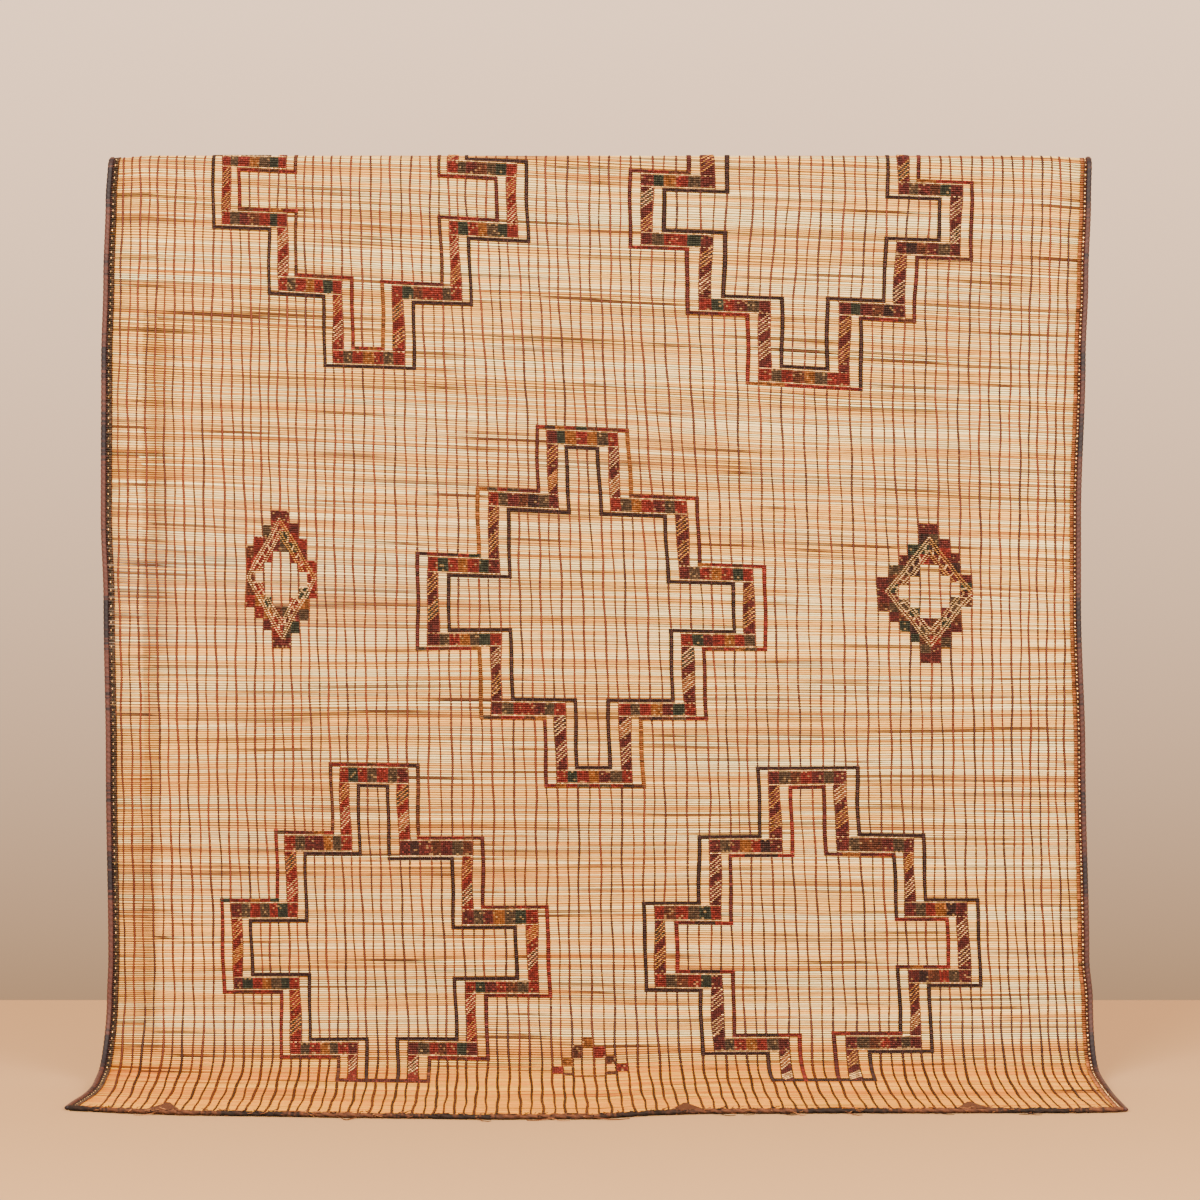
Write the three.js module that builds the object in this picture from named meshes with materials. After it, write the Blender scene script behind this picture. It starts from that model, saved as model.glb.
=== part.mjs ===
// A reed and leather mat, hung over a bar, with its foot swept forward on the floor.
// Millimetres, +Z up. The face is towards -Y and the origin is the middle of the line that hangs on the bar.
import * as THREE from 'three';

// Driving dimensions
const MAT_WIDTH = 2772;
const MAT_THICKNESS = 6;
const BAR_SPACE_RADIUS = 25;
const FLOOR_BELOW_FOLD = 2634;
const BACK_FLAP = 670;
const SEAM_GAP = 0.3;
const SIDE_BINDING_WIDTH = 14;
const END_BINDING_WIDTH = 20;
const END_BINDING_HEIGHT = 13;
const PATCH_THICKNESS = 2;
const PATCH_LIFT = 0.5;

// The foot from the end of its straight drop to its tip: length along the mat and turn towards the level floor
const FOOT = [
  { run: 184, turn: 41, steps: 6 },
  { run: 97, turn: 39, steps: 6 },
  { run: 286, turn: 10, steps: 6 },
  { run: 104, turn: 0, steps: 2 },
];

// How far each side edge stands out past half the width, by distance along the mat from the top of the fold
const OUTLINE = [
  { along: -710, left: 4, right: 6 },
  { along: 0, left: -10, right: 20 },
  { along: 140, left: -2, right: 17 },
  { along: 370, left: 5, right: 9 },
  { along: 600, left: 11, right: 1 },
  { along: 1050, left: 12, right: -12 },
  { along: 1290, left: 4, right: -12 },
  { along: 1740, left: -3, right: 1 },
  { along: 2310, left: -10, right: 12 },
  { along: 2430, left: -6, right: 22 },
  { along: 2740, left: 4, right: 18 },
  { along: 3080, left: 36, right: 8 },
];

// The corners of the fold droop past the ends of the bar
const DROOP = { left: 10, right: 8, reach: 130, fades: 420 };
// Slow ripples of the hanging face
const RIPPLE = { height: 4, wave: 1150, tall: 900, starts: 150, ends: 2250, fades: 350 };
// The foot creeps sideways as it comes forward
const FOOT_SKEW = { shift: 16, starts: 2500, ends: 3080 };
// The front end bows forward: how much longer the foot is, by share of the way from the left edge to the right
const FOOT_BOW = [
  { share: 0, longer: 40 },
  { share: 0.047, longer: 85 },
  { share: 0.105, longer: 118 },
  { share: 0.28, longer: 165 },
  { share: 0.39, longer: 190 },
  { share: 0.5, longer: 185 },
  { share: 0.555, longer: 122 },
  { share: 0.61, longer: 98 },
  { share: 0.72, longer: 90 },
  { share: 0.953, longer: 84 },
  { share: 1, longer: 70 },
];
const FOOT_BOW_STARTS = 2480;

// The triangular leather pieces at the front end, by the middle of their base
const PATCHES = [
  { name: 'patch_left', x: -1166, base: 112, height: 128 },
  { name: 'patch_middle', x: 230, base: 108, height: 124 },
  { name: 'patch_right', x: 998, base: 110, height: 122 },
];

const HALF_WIDTH = MAT_WIDTH / 2;
const HALF_THICKNESS = MAT_THICKNESS / 2;
const FOLD_RADIUS = BAR_SPACE_RADIUS + HALF_THICKNESS;
const toRadians = THREE.MathUtils.degToRad;

// Height lost over the bends of the foot, which leaves the length of the straight drop
function footFall() {
  let heading = 0;
  let fall = 0;
  for (const bend of FOOT) {
    const next = heading + toRadians(bend.turn);
    fall += bend.turn === 0
      ? bend.run * Math.cos(heading)
      : (bend.run / (next - heading)) * (Math.sin(next) - Math.sin(heading));
    heading = next;
  }
  return fall;
}

const STRAIGHT_DROP = FLOOR_BELOW_FOLD - BAR_SPACE_RADIUS - HALF_THICKNESS - footFall();

// The whole path of the mat's middle surface, from its hidden end over the fold to the tip of the foot
const PATH = [
  { run: BACK_FLAP, turn: 0, steps: 5 },
  { run: Math.PI * FOLD_RADIUS, turn: -180, steps: 12 },
  { run: STRAIGHT_DROP, turn: 0, steps: 16 },
  ...FOOT,
];
const PATH_START = -BACK_FLAP - (Math.PI * FOLD_RADIUS) / 2;
const PATH_END = PATH_START + PATH.reduce((sum, bend) => sum + bend.run, 0);

// Point and heading of the middle surface at a distance along it from the top of the fold
function pathAt(along) {
  let left = along - PATH_START;
  let heading = Math.PI;
  let y = FOLD_RADIUS;
  let z = -BAR_SPACE_RADIUS - BACK_FLAP;
  for (const [index, bend] of PATH.entries()) {
    const last = index === PATH.length - 1;
    const run = last ? left : Math.min(left, bend.run);
    const next = heading + toRadians(bend.turn) * (run / bend.run);
    if (bend.turn === 0) {
      y -= run * Math.sin(heading);
      z -= run * Math.cos(heading);
    } else {
      const radius = bend.run / toRadians(bend.turn);
      y += radius * (Math.cos(next) - Math.cos(heading));
      z -= radius * (Math.sin(next) - Math.sin(heading));
    }
    heading = next;
    left -= run;
    if (left <= 0) break;
  }
  return { y, z, heading };
}

function smooth(from, to, value) {
  return THREE.MathUtils.smoothstep(value, from, to);
}

// The two rows of a table that a value of its key column lies between
function rowsAround(rows, key, value) {
  let index = 0;
  while (index < rows.length - 2 && rows[index + 1][key] < value) index += 1;
  return [rows[index], rows[index + 1]];
}

// Value of one column of the outline at a distance along the mat
function outlineAt(along, side) {
  const [low, high] = rowsAround(OUTLINE, 'along', along);
  return THREE.MathUtils.lerp(low[side], high[side], smooth(low.along, high.along, along));
}

const leftEdge = (along) => -HALF_WIDTH - outlineAt(along, 'left');
const rightEdge = (along) => HALF_WIDTH + outlineAt(along, 'right');

// How much further a point of the foot reaches because its end bows forward
function bowAt(along, across) {
  const left = leftEdge(along);
  const share = THREE.MathUtils.clamp((across - left) / (rightEdge(along) - left), 0, 1);
  const [low, high] = rowsAround(FOOT_BOW, 'share', share);
  const longer = THREE.MathUtils.mapLinear(share, low.share, high.share, low.longer, high.longer);
  return longer * smooth(FOOT_BOW_STARTS, PATH_END, along);
}

// A point of the mat: distance along it, place across it, and distance out of its middle surface to the face
function matPoint(along, across, out) {
  const { y, z, heading } = pathAt(along + bowAt(along, across));
  const side = across < 0 ? 'left' : 'right';
  const pastBar = Math.max(0, Math.abs(across) - (HALF_WIDTH - DROOP.reach)) / DROOP.reach;
  const fade = 1 - smooth(0, DROOP.fades, Math.abs(along));
  const droop = DROOP[side] * Math.min(pastBar, 1) ** 2 * fade;
  const hanging = smooth(RIPPLE.starts, RIPPLE.starts + RIPPLE.fades, along)
    * (1 - smooth(RIPPLE.ends - RIPPLE.fades, RIPPLE.ends, along));
  const wave = Math.sin((2 * Math.PI * across) / RIPPLE.wave + along / RIPPLE.tall);
  const ripple = RIPPLE.height * wave * hanging;
  const skew = FOOT_SKEW.shift * smooth(FOOT_SKEW.starts, FOOT_SKEW.ends, along);
  return new THREE.Vector3(
    across + skew,
    y - out * Math.cos(heading) - ripple,
    z + out * Math.sin(heading) - droop,
  );
}

// Distances along the mat of its rows
function rowsAlong() {
  const rows = [PATH_START];
  let start = PATH_START;
  for (const bend of PATH) {
    for (let step = 1; step <= bend.steps; step += 1) {
      rows.push(start + (bend.run * step) / bend.steps);
    }
    start += bend.run;
  }
  return rows;
}

// A closed solid through rings of points, each ring one row of points and then the opposite row backwards
function loft(rings) {
  const count = rings[0].length;
  const positions = rings.flat().flatMap((point) => [point.x, point.y, point.z]);
  const triangles = [];
  const quad = (a, b, c, d) => triangles.push(a, c, b, a, d, c);
  for (let ring = 0; ring < rings.length - 1; ring += 1) {
    for (let index = 0; index < count; index += 1) {
      const next = (index + 1) % count;
      const low = ring * count;
      quad(low + index, low + next, low + count + next, low + count + index);
    }
  }
  const endRing = (rings.length - 1) * count;
  for (let index = 0; index < count / 2 - 1; index += 1) {
    const across = count - 1 - index;
    quad(across, across - 1, index + 1, index);
    quad(endRing + index, endRing + index + 1, endRing + across - 1, endRing + across);
  }
  const geometry = new THREE.BufferGeometry();
  geometry.setAttribute('position', new THREE.Float32BufferAttribute(positions, 3));
  geometry.setIndex(triangles);
  geometry.computeVertexNormals();
  return geometry;
}

const hide = new THREE.MeshStandardMaterial({ color: '#5b3a30', roughness: 0.7, metalness: 0 });
const thong = new THREE.MeshStandardMaterial({ color: '#4a2f22', roughness: 0.8, metalness: 0 });
const reed = new THREE.MeshStandardMaterial({ color: '#e2bd92', roughness: 0.6, metalness: 0 });

const hangingMat = new THREE.Group();

function addPiece(name, geometry, material) {
  const mesh = new THREE.Mesh(geometry, material);
  mesh.name = name;
  hangingMat.add(mesh);
}

// The mat itself: columns lie closer where the corners droop
const COLUMN_SHARES = [0, 0.012, 0.024, 0.036, 0.047, 0.105, 0.16, 0.22, 0.28, 0.335, 0.39, 0.445, 0.5];
const columnShares = [
  ...COLUMN_SHARES,
  ...COLUMN_SHARES.slice(0, -1).reverse().map((share) => 1 - share),
];

function matSheet() {
  return loft(rowsAlong().map((along) => {
    const left = leftEdge(along);
    const width = rightEdge(along) - left;
    const row = (out) => columnShares.map((share) => matPoint(along, left + share * width, out));
    return [...row(HALF_THICKNESS), ...row(-HALF_THICKNESS).reverse()];
  }));
}

// Section of a side binding: distance out from the mat's edge and out of its middle surface
const SIDE_SECTION = [
  { from: 0, out: 5.5 },
  { from: 0.25, out: 8 },
  { from: 0.7, out: 8 },
  { from: 1, out: 4.5 },
  { from: 1, out: 0.5 },
  { from: 0.7, out: -3 },
  { from: 0.25, out: -3 },
  { from: 0, out: -3 },
];

function sideBinding(edge, outward) {
  const rings = rowsAlong().map((along) => SIDE_SECTION.map(({ from, out }) => {
    const distance = SEAM_GAP + from * SIDE_BINDING_WIDTH;
    return matPoint(along, edge(along) + outward * distance, out);
  }));
  return loft(outward > 0 ? rings : rings.map((ring) => [...ring].reverse()));
}

// Section of an end binding: distance past the mat's end and height over its underside, as shares
const END_SECTION = [
  { past: 0, up: 0.9 },
  { past: 0.3, up: 1 },
  { past: 0.75, up: 0.85 },
  { past: 1, up: 0.45 },
  { past: 1, up: 0.15 },
  { past: 0.75, up: 0 },
  { past: 0.3, up: 0 },
  { past: 0, up: 0 },
];
const END_LUMPS = [
  { height: 0.12, length: 41 },
  { height: 0.06, length: 17 },
];

// The thick thong edge across one end, uneven along its length and flat below
function endBinding(end, outward) {
  const reach = SEAM_GAP + SIDE_BINDING_WIDTH;
  const left = leftEdge(end);
  const right = rightEdge(end);
  const columns = columnShares.map((share) => THREE.MathUtils.lerp(left, right, share));
  const rings = [left - reach, ...columns, right + reach].map((across) => {
    const lump = END_LUMPS.reduce((size, lumps) => size + lumps.height * Math.sin(across / lumps.length), 1);
    return END_SECTION.map(({ past, up }) => {
      const along = end + outward * (SEAM_GAP + past * END_BINDING_WIDTH * lump);
      const out = up * END_BINDING_HEIGHT * lump - HALF_THICKNESS;
      return matPoint(along, across, out);
    });
  });
  return loft(outward < 0 ? rings : rings.map((ring) => [...ring].reverse()));
}

// A triangular leather piece lying on the face, its point away from the end
const PATCH_STEPS = 6;
const PATCH_SET_BACK = 4;
const PATCH_TIP_WIDTH = 8;

function endPatch({ x, base, height }) {
  const rings = [];
  for (let step = 0; step <= PATCH_STEPS; step += 1) {
    const share = step / PATCH_STEPS;
    const along = PATH_END - PATCH_SET_BACK - height * (1 - share);
    const half = (PATCH_TIP_WIDTH + (base - PATCH_TIP_WIDTH) * share) / 2;
    const low = HALF_THICKNESS + PATCH_LIFT;
    const high = low + PATCH_THICKNESS;
    rings.push([
      matPoint(along, x - half, high),
      matPoint(along, x + half, high),
      matPoint(along, x + half, low),
      matPoint(along, x - half, low),
    ]);
  }
  return loft(rings);
}

addPiece('mat', matSheet(), reed);
addPiece('side_binding_left', sideBinding(leftEdge, -1), hide);
addPiece('side_binding_right', sideBinding(rightEdge, 1), hide);
addPiece('end_binding_front', endBinding(PATH_END, 1), thong);
addPiece('end_binding_back', endBinding(PATH_START, -1), thong);
for (const patch of PATCHES) {
  addPiece(patch.name, endPatch(patch), hide);
}

export default hangingMat;
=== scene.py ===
"""The looks of a reed and leather mat that hangs over a bar, with its foot swept forward on the floor.

Sizes are in millimetres until a mesh is made, and the mesh is in metres.
Places on the mat are given as along, the distance from the top of the fold towards the foot, across, the
distance to the right of its middle, and out, the distance from its middle surface towards its face.
"""

import math

import bpy
import numpy as np
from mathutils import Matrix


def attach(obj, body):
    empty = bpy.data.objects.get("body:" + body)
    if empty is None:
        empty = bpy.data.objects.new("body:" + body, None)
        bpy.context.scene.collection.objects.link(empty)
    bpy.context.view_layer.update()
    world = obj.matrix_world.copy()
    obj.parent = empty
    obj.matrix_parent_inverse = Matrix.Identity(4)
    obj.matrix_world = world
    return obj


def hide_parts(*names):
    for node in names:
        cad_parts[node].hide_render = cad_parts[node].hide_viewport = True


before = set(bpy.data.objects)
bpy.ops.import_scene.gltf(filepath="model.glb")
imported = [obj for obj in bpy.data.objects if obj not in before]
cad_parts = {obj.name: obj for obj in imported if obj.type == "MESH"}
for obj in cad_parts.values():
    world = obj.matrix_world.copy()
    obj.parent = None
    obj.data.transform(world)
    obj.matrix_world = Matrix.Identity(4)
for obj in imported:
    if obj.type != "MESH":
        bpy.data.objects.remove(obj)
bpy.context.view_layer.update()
rng = np.random.default_rng(11)

METRES = 0.001

# The mat's form, as its solids have it
MAT_WIDTH = 2772.0
MAT_THICKNESS = 6.0
BAR_SPACE_RADIUS = 25.0
FLOOR_BELOW_FOLD = 2634.0
BACK_FLAP = 670.0
SEAM_GAP = 0.3
SIDE_BINDING_WIDTH = 14.0
END_BINDING_WIDTH = 20.0
FOOT = [(184.0, 41.0), (97.0, 39.0), (286.0, 10.0), (104.0, 0.0)]
OUTLINE_ALONG = [-710, 0, 140, 370, 600, 1050, 1290, 1740, 2310, 2430, 2740, 3080]
OUTLINE_LEFT = [4, -10, -2, 5, 11, 12, 4, -3, -10, -6, 4, 36]
OUTLINE_RIGHT = [6, 20, 17, 9, 1, -12, -12, 1, 12, 22, 18, 8]
DROOP_LEFT, DROOP_RIGHT, DROOP_REACH, DROOP_FADES = 10.0, 8.0, 130.0, 420.0
RIPPLE_HEIGHT, RIPPLE_WAVE, RIPPLE_TALL = 4.0, 1150.0, 900.0
RIPPLE_STARTS, RIPPLE_ENDS, RIPPLE_FADES = 150.0, 2250.0, 350.0
SKEW_SHIFT, SKEW_STARTS, SKEW_ENDS = 16.0, 2500.0, 3080.0
BOW_SHARES = [0, 0.047, 0.105, 0.28, 0.39, 0.5, 0.555, 0.61, 0.72, 0.953, 1]
BOW_LONGER = [40, 85, 118, 165, 190, 185, 122, 98, 90, 84, 70]
BOW_STARTS = 2480.0
BOW_MEAN = float(np.interp(np.linspace(0, 1, 201), BOW_SHARES, BOW_LONGER).mean())

HALF_WIDTH = MAT_WIDTH / 2
HALF_THICKNESS = MAT_THICKNESS / 2
FOLD_RADIUS = BAR_SPACE_RADIUS + HALF_THICKNESS


def smooth(low, high, value):
    share = np.clip((value - low) / (high - low), 0, 1)
    return share * share * (3 - 2 * share)


def foot_fall():
    heading, fall = 0.0, 0.0
    for run, turn in FOOT:
        after = heading + math.radians(turn)
        if turn:
            fall += run / (after - heading) * (math.sin(after) - math.sin(heading))
        else:
            fall += run * math.cos(heading)
        heading = after
    return fall


STRAIGHT_DROP = FLOOR_BELOW_FOLD - BAR_SPACE_RADIUS - HALF_THICKNESS - foot_fall()
BENDS = [(BACK_FLAP, 0.0), (math.pi * FOLD_RADIUS, -180.0), (STRAIGHT_DROP, 0.0), *FOOT]
START = -BACK_FLAP - math.pi * FOLD_RADIUS / 2
END = START + sum(run for run, turn in BENDS)


def path_at(along):
    """The middle surface's y, z and heading, where 0 is straight down and a quarter turn is level."""
    along = np.asarray(along, float)
    y, z, heading = np.zeros_like(along), np.zeros_like(along), np.zeros_like(along)
    here, at_y, at_z, start = math.pi, FOLD_RADIUS, -BAR_SPACE_RADIUS - BACK_FLAP, START
    for number, (run, turn) in enumerate(BENDS):
        first, last = number == 0, number == len(BENDS) - 1
        inside = ((along >= start) | first) & ((along < start + run) | last)
        gone = along[inside] - start
        after = here + math.radians(turn) * gone / run
        if turn:
            radius = run / math.radians(turn)
            y[inside] = at_y + radius * (np.cos(after) - math.cos(here))
            z[inside] = at_z - radius * (np.sin(after) - math.sin(here))
        else:
            y[inside] = at_y - gone * math.sin(here)
            z[inside] = at_z - gone * math.cos(here)
        heading[inside] = after
        end = here + math.radians(turn)
        if turn:
            at_y += radius * (math.cos(end) - math.cos(here))
            at_z -= radius * (math.sin(end) - math.sin(here))
        else:
            at_y -= run * math.sin(here)
            at_z -= run * math.cos(here)
        here = end
        start += run
    return y, z, heading


def outline(along, column):
    """The outline's column with an eased step from each row to the next."""
    rows = np.array(OUTLINE_ALONG, float)
    values = np.array(column, float)
    index = np.clip(np.searchsorted(rows, along, side="left") - 1, 0, len(rows) - 2)
    share = smooth(rows[index], rows[index + 1], along)
    return values[index] + (values[index + 1] - values[index]) * share


def left_edge(along):
    return -HALF_WIDTH - outline(along, OUTLINE_LEFT)


def right_edge(along):
    return HALF_WIDTH + outline(along, OUTLINE_RIGHT)


def bow_at(along, across):
    """How much further the foot reaches, because its end bows forward."""
    left = left_edge(along)
    share = (across - left) / (right_edge(along) - left)
    return np.interp(share, BOW_SHARES, BOW_LONGER) * smooth(BOW_STARTS, END, along)


def surface(along, across, out):
    """Points in millimetres for arrays of places on the mat, on a new last axis."""
    along, across, out = np.broadcast_arrays(along, across, out)
    y, z, heading = path_at(along + bow_at(along, across))
    past = np.maximum(0, np.abs(across) - (HALF_WIDTH - DROOP_REACH)) / DROOP_REACH
    fade = 1 - smooth(0, DROOP_FADES, np.abs(along))
    droop = np.where(across < 0, DROOP_LEFT, DROOP_RIGHT) * np.minimum(past, 1) ** 2 * fade
    hanging = smooth(RIPPLE_STARTS, RIPPLE_STARTS + RIPPLE_FADES, along)
    hanging = hanging * (1 - smooth(RIPPLE_ENDS - RIPPLE_FADES, RIPPLE_ENDS, along))
    ripple = RIPPLE_HEIGHT * np.sin(2 * math.pi * across / RIPPLE_WAVE + along / RIPPLE_TALL) * hanging
    skew = SKEW_SHIFT * smooth(SKEW_STARTS, SKEW_ENDS, along)
    return np.stack(
        [
            across + skew,
            y - out * np.cos(heading) - ripple,
            z + out * np.sin(heading) - droop,
        ],
        -1,
    )


# The weave: strips of leather run down the mat, and the reeds cross them a little aslant
STRIPS = 94
STRIP_MARKS = [0, 6, 10, 13, 16, 22, 25, 31, 34, 37, 43, 46, 49, 52, 54, 58, 63, 67, 72, 75, 78, 83, 88, 93]
STRIP_ALONG = [145, 420, 716, 1173, 1859, 2159, 2459, 2600, 2740]
# how far the marked strips lie to the right of the middle line at each of those distances
STRIP_LEFT = [
    [-1349, -1198, -1090, -1017, -931, -780, -699, -527, -445, -368, -196, -112],
    [-1356, -1203, -1092, -1010, -930, -776, -695, -520, -436, -355, -185, -103],
    [-1363, -1205, -1096, -1007, -933, -771, -691, -513, -425, -337, -167, -87],
    [-1361, -1199, -1085, -996, -923, -772, -690, -507, -421, -333, -158, -70],
    [-1348, -1188, -1076, -996, -915, -753, -678, -507, -407, -321, -136, -48],
    [-1346, -1179, -1065, -984, -905, -743, -665, -495, -407, -321, -136, -46],
    [-1343, -1175, -1058, -975, -896, -733, -653, -478, -397, -311, -128, -39],
    [-1343, -1173, -1053, -970, -890, -727, -647, -471, -392, -306, -122, -36],
    [-1343, -1176, -1058, -973, -891, -724, -644, -469, -390, -306, -121, -34],
]
STRIP_RIGHT = [
    [-17, 71, 131, 266, 452, 586, 744, 837, 926, 1078, 1224, 1358],
    [-12, 75, 128, 262, 435, 567, 731, 824, 914, 1071, 1217, 1350],
    [1, 89, 143, 278, 438, 565, 727, 821, 912, 1069, 1214, 1342],
    [23, 112, 177, 300, 452, 575, 742, 838, 926, 1073, 1213, 1339],
    [47, 140, 201, 329, 468, 589, 750, 848, 936, 1086, 1221, 1343],
    [48, 140, 199, 330, 479, 604, 767, 860, 943, 1092, 1227, 1357],
    [56, 147, 204, 334, 489, 616, 781, 872, 957, 1107, 1243, 1371],
    [59, 152, 209, 340, 490, 614, 779, 870, 955, 1105, 1240, 1371],
    [61, 153, 210, 340, 493, 614, 777, 868, 953, 1100, 1233, 1371],
]
STRIP_ACROSS = np.concatenate([STRIP_LEFT, STRIP_RIGHT], 1)
TILT_ALONG = [-710, -640, 13, 773, 1002, 1173, 1287, 1430, 1630, 1859, 2144, 3100]
TILT = [0.0, 0.0, 0.044, 0.044, 0.040, 0.035, 0.020, 0.006, 0.002, 0.004, 0.0, 0.0]


# how a strip wanders: how far, over what length, and how much the next strip is ahead
STRIP_WAVES = [(1.6, 71.0, 2.3), (1.1, 29.0, 5.1)]
# how a reed wanders: how far, over what length along it, and over what length from reed to reed
REED_WAVES = [(2.2, 310.0, 130.0), (1.3, 143.0, 77.0)]
REED_WAVES_FADE = 60.0


def strip_wobble(strip, along):
    return sum(height * np.sin(along / wave + strip * ahead) for height, wave, ahead in STRIP_WAVES)


def strip_across(strip, along):
    """Where strips, or shares of the way to the next, lie at distances along the mat, as flat arrays."""
    rows = np.stack([np.interp(strip, STRIP_MARKS, row) for row in STRIP_ACROSS])
    share = np.interp(along, STRIP_ALONG, range(len(STRIP_ALONG)))
    row = np.minimum(share.astype(int), len(STRIP_ALONG) - 2)
    share = share - row
    each = np.arange(len(strip))
    place = rows[row, each] * (1 - share) + rows[row + 1, each] * share
    whole = np.floor(strip)
    part = strip - whole
    wobble = strip_wobble(whole, along) * (1 - part) + strip_wobble(whole + 1, along) * part
    return place + wobble


def reed_along(middle, across):
    """A reed's place along the mat at a place across it, for its place at the mat's middle line."""
    sway = sum(height * np.sin(across / wave + middle / next_wave) for height, wave, next_wave in REED_WAVES)
    ends = smooth(START, START + REED_WAVES_FADE, middle) * (1 - smooth(END - REED_WAVES_FADE, END, middle))
    return middle + across * np.interp(middle, TILT_ALONG, TILT) + sway * ends


def cell_points(strip, middle, out):
    """Points of the weave, for strip numbers and places along the mat's middle line."""
    strip, middle = np.broadcast_arrays(np.asarray(strip, float), np.asarray(middle, float))
    flat_strip, flat_middle = strip.ravel(), middle.ravel()
    across = strip_across(flat_strip, flat_middle)
    along = reed_along(flat_middle, across)
    across = strip_across(flat_strip, along)
    shape = strip.shape
    return surface(along.reshape(shape), across.reshape(shape), out)


def srgb(red, green, blue):
    """A colour as seen, from 0 to 255, as the linear numbers that a shader takes."""
    seen = np.array([red, green, blue]) / 255
    return np.where(seen <= 0.04045, seen / 12.92, ((seen + 0.055) / 1.055) ** 2.4)


def mesh_piece(name, points, faces, sides, material, tint=None, uv=None):
    """A piece from points in millimetres and a flat list of corners, with sides corners to each face."""
    points = np.asarray(points, float).reshape(-1, 3)
    mesh = bpy.data.meshes.new(name)
    mesh.vertices.add(len(points))
    mesh.vertices.foreach_set("co", (points * METRES).astype(np.float32).ravel())
    faces = np.asarray(faces, np.int32).ravel()
    sides = np.asarray(sides, np.int32)
    mesh.loops.add(len(faces))
    mesh.loops.foreach_set("vertex_index", faces)
    mesh.polygons.add(len(sides))
    starts = np.concatenate([[0], np.cumsum(sides)[:-1]]).astype(np.int32)
    mesh.polygons.foreach_set("loop_start", starts)
    mesh.polygons.foreach_set("use_smooth", np.ones(len(sides), bool))
    mesh.update(calc_edges=True)
    if tint is not None:
        layer = mesh.color_attributes.new("tint", "FLOAT_COLOR", "POINT")
        tint = np.asarray(tint, float).reshape(-1, 3)
        rgba = np.concatenate([tint, np.ones((len(tint), 1))], 1)
        layer.data.foreach_set("color", rgba.astype(np.float32).ravel())
    if uv is not None:
        layer = mesh.uv_layers.new(name="OFBake")
        uv = np.asarray(uv, float).reshape(-1, 2)[faces]
        layer.data.foreach_set("uv", uv.astype(np.float32).ravel())
    mesh.materials.append(material)
    piece = bpy.data.objects.new(name, mesh)
    bpy.context.scene.collection.objects.link(piece)
    return piece


UV_MARGIN = 0.01


def in_uv(share):
    """A place from 0 to 1 moved a little inwards, so that it stays inside the texture square."""
    return UV_MARGIN + (1 - 2 * UV_MARGIN) * share


def bar_faces(bars, rings, sides):
    """Faces of closed bars, each of rings rings of sides points, as corners and the count at each face."""
    ring = np.arange(rings - 1)[:, None]
    side = np.arange(sides)[None, :]
    after = (side + 1) % sides
    low, high = ring * sides, (ring + 1) * sides
    quads = np.stack([low + side, low + after, high + after, high + side], -1).reshape(-1, 4)
    caps = np.stack([np.arange(sides)[::-1], (rings - 1) * sides + np.arange(sides)])
    shift = (np.arange(bars) * rings * sides)[:, None, None]
    quads = (quads[None] + shift).reshape(bars, -1)
    caps = (caps[None] + shift).reshape(bars, -1)
    corners = np.concatenate([quads, caps], 1).ravel()
    counts = np.tile([4] * ((rings - 1) * sides) + [sides, sides], bars)
    return corners, counts


def bars_piece(name, points, material, tint, uv):
    """A piece of bars: points has the axes bar, ring, side and coordinate, each ring anticlockwise."""
    bars, rings, sides = points.shape[:3]
    corners, counts = bar_faces(bars, rings, sides)
    tint = np.broadcast_to(tint, points.shape)
    return mesh_piece(name, points, corners, counts, material, tint, uv)


# The grain of every tinted material: its noise, the part of the noise's range that counts, and its height
GRAIN_DETAIL = 5
GRAIN_ROUGHNESS = 0.6
GRAIN_LOW, GRAIN_HIGH = 0.3, 0.7
GRAIN_LIGHTENS = 0.6
GRAIN_HEIGHT = 0.0006


def node_material(name, roughness):
    material = bpy.data.materials.new(name)
    material.use_nodes = True
    shader = material.node_tree.nodes["Principled BSDF"]
    shader.inputs["Roughness"].default_value = roughness
    return material, shader


def tinted_material(name, roughness, stretch, grain_scale, grain_depth, bump, specular):
    """A material coloured by the mesh's tint, with a grain that may be stretched along the reeds."""
    material, shader = node_material(name, roughness)
    nodes, links = material.node_tree.nodes, material.node_tree.links
    shader.inputs["Specular IOR Level"].default_value = specular
    tint = nodes.new("ShaderNodeVertexColor")
    tint.layer_name = "tint"
    place = nodes.new("ShaderNodeTexCoord")
    mapping = nodes.new("ShaderNodeMapping")
    mapping.inputs["Scale"].default_value = stretch
    links.new(place.outputs["Object"], mapping.inputs["Vector"])
    grain = nodes.new("ShaderNodeTexNoise")
    grain.inputs["Scale"].default_value = grain_scale
    grain.inputs["Detail"].default_value = GRAIN_DETAIL
    grain.inputs["Roughness"].default_value = GRAIN_ROUGHNESS
    links.new(mapping.outputs["Vector"], grain.inputs["Vector"])
    levels = nodes.new("ShaderNodeMapRange")
    levels.inputs["From Min"].default_value = GRAIN_LOW
    levels.inputs["From Max"].default_value = GRAIN_HIGH
    levels.inputs["To Min"].default_value = 1 - grain_depth
    levels.inputs["To Max"].default_value = 1 + grain_depth * GRAIN_LIGHTENS
    links.new(grain.outputs["Fac"], levels.inputs["Value"])
    scaled = nodes.new("ShaderNodeVectorMath")
    scaled.operation = "SCALE"
    links.new(tint.outputs["Color"], scaled.inputs[0])
    links.new(levels.outputs["Result"], scaled.inputs["Scale"])
    links.new(scaled.outputs["Vector"], shader.inputs["Base Color"])
    rise = nodes.new("ShaderNodeBump")
    rise.inputs["Strength"].default_value = bump
    rise.inputs["Distance"].default_value = GRAIN_HEIGHT
    links.new(grain.outputs["Fac"], rise.inputs["Height"])
    links.new(rise.outputs["Normal"], shader.inputs["Normal"])
    return material


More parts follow.
